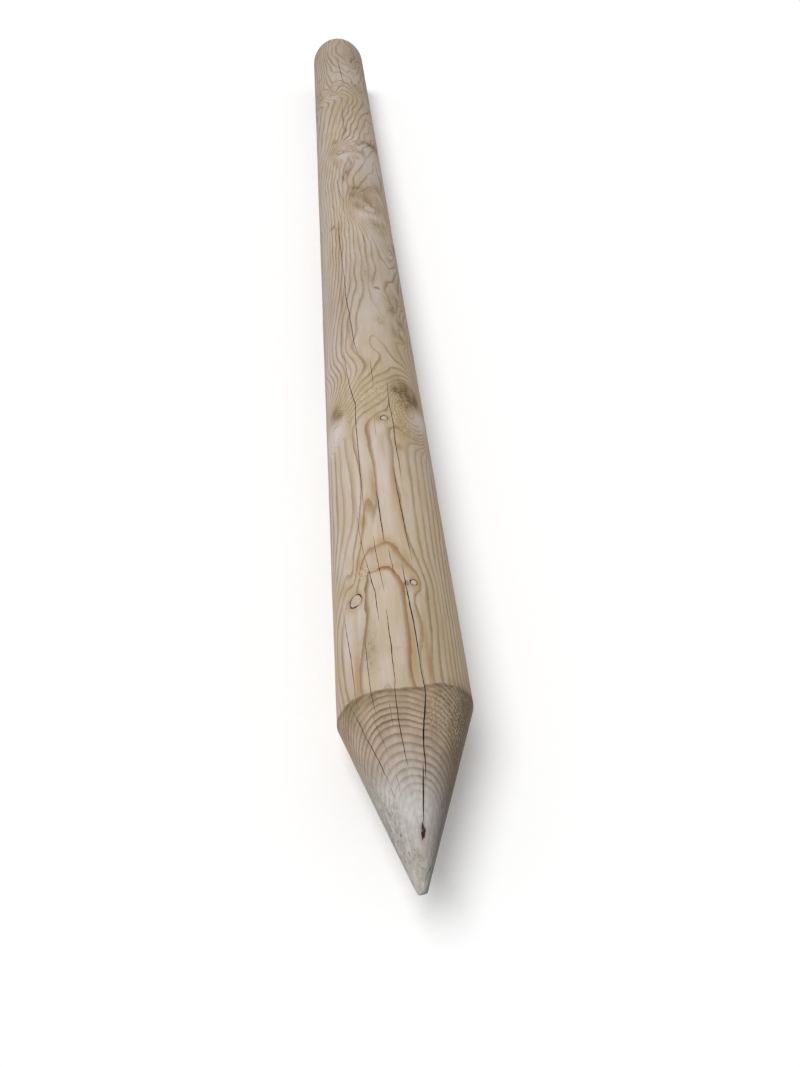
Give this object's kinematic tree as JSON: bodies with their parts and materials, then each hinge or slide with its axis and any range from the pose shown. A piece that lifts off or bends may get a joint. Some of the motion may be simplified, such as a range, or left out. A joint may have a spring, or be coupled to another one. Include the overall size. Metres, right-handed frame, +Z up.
{
  "type": "pointed wooden stake",
  "caption": "Round machined timber stake with a conical point at one end and a square-sawn driving end, for fencing, staking and retaining.",
  "frame": {"origin": "on the floor plane, under the middle of the stake's overall length and under its axis", "axes": "+X along the stake's axis, the way the point faces; +Z up, with the stake lying on its side"},
  "size_m": [1.75, 0.0998, 0.1],
  "materials": {
    "timber": "bare machined softwood, dry and matt, with a greyer point"
  },
  "bodies": {
    "root": {"stake": "timber"}
  },
  "joints": []
}
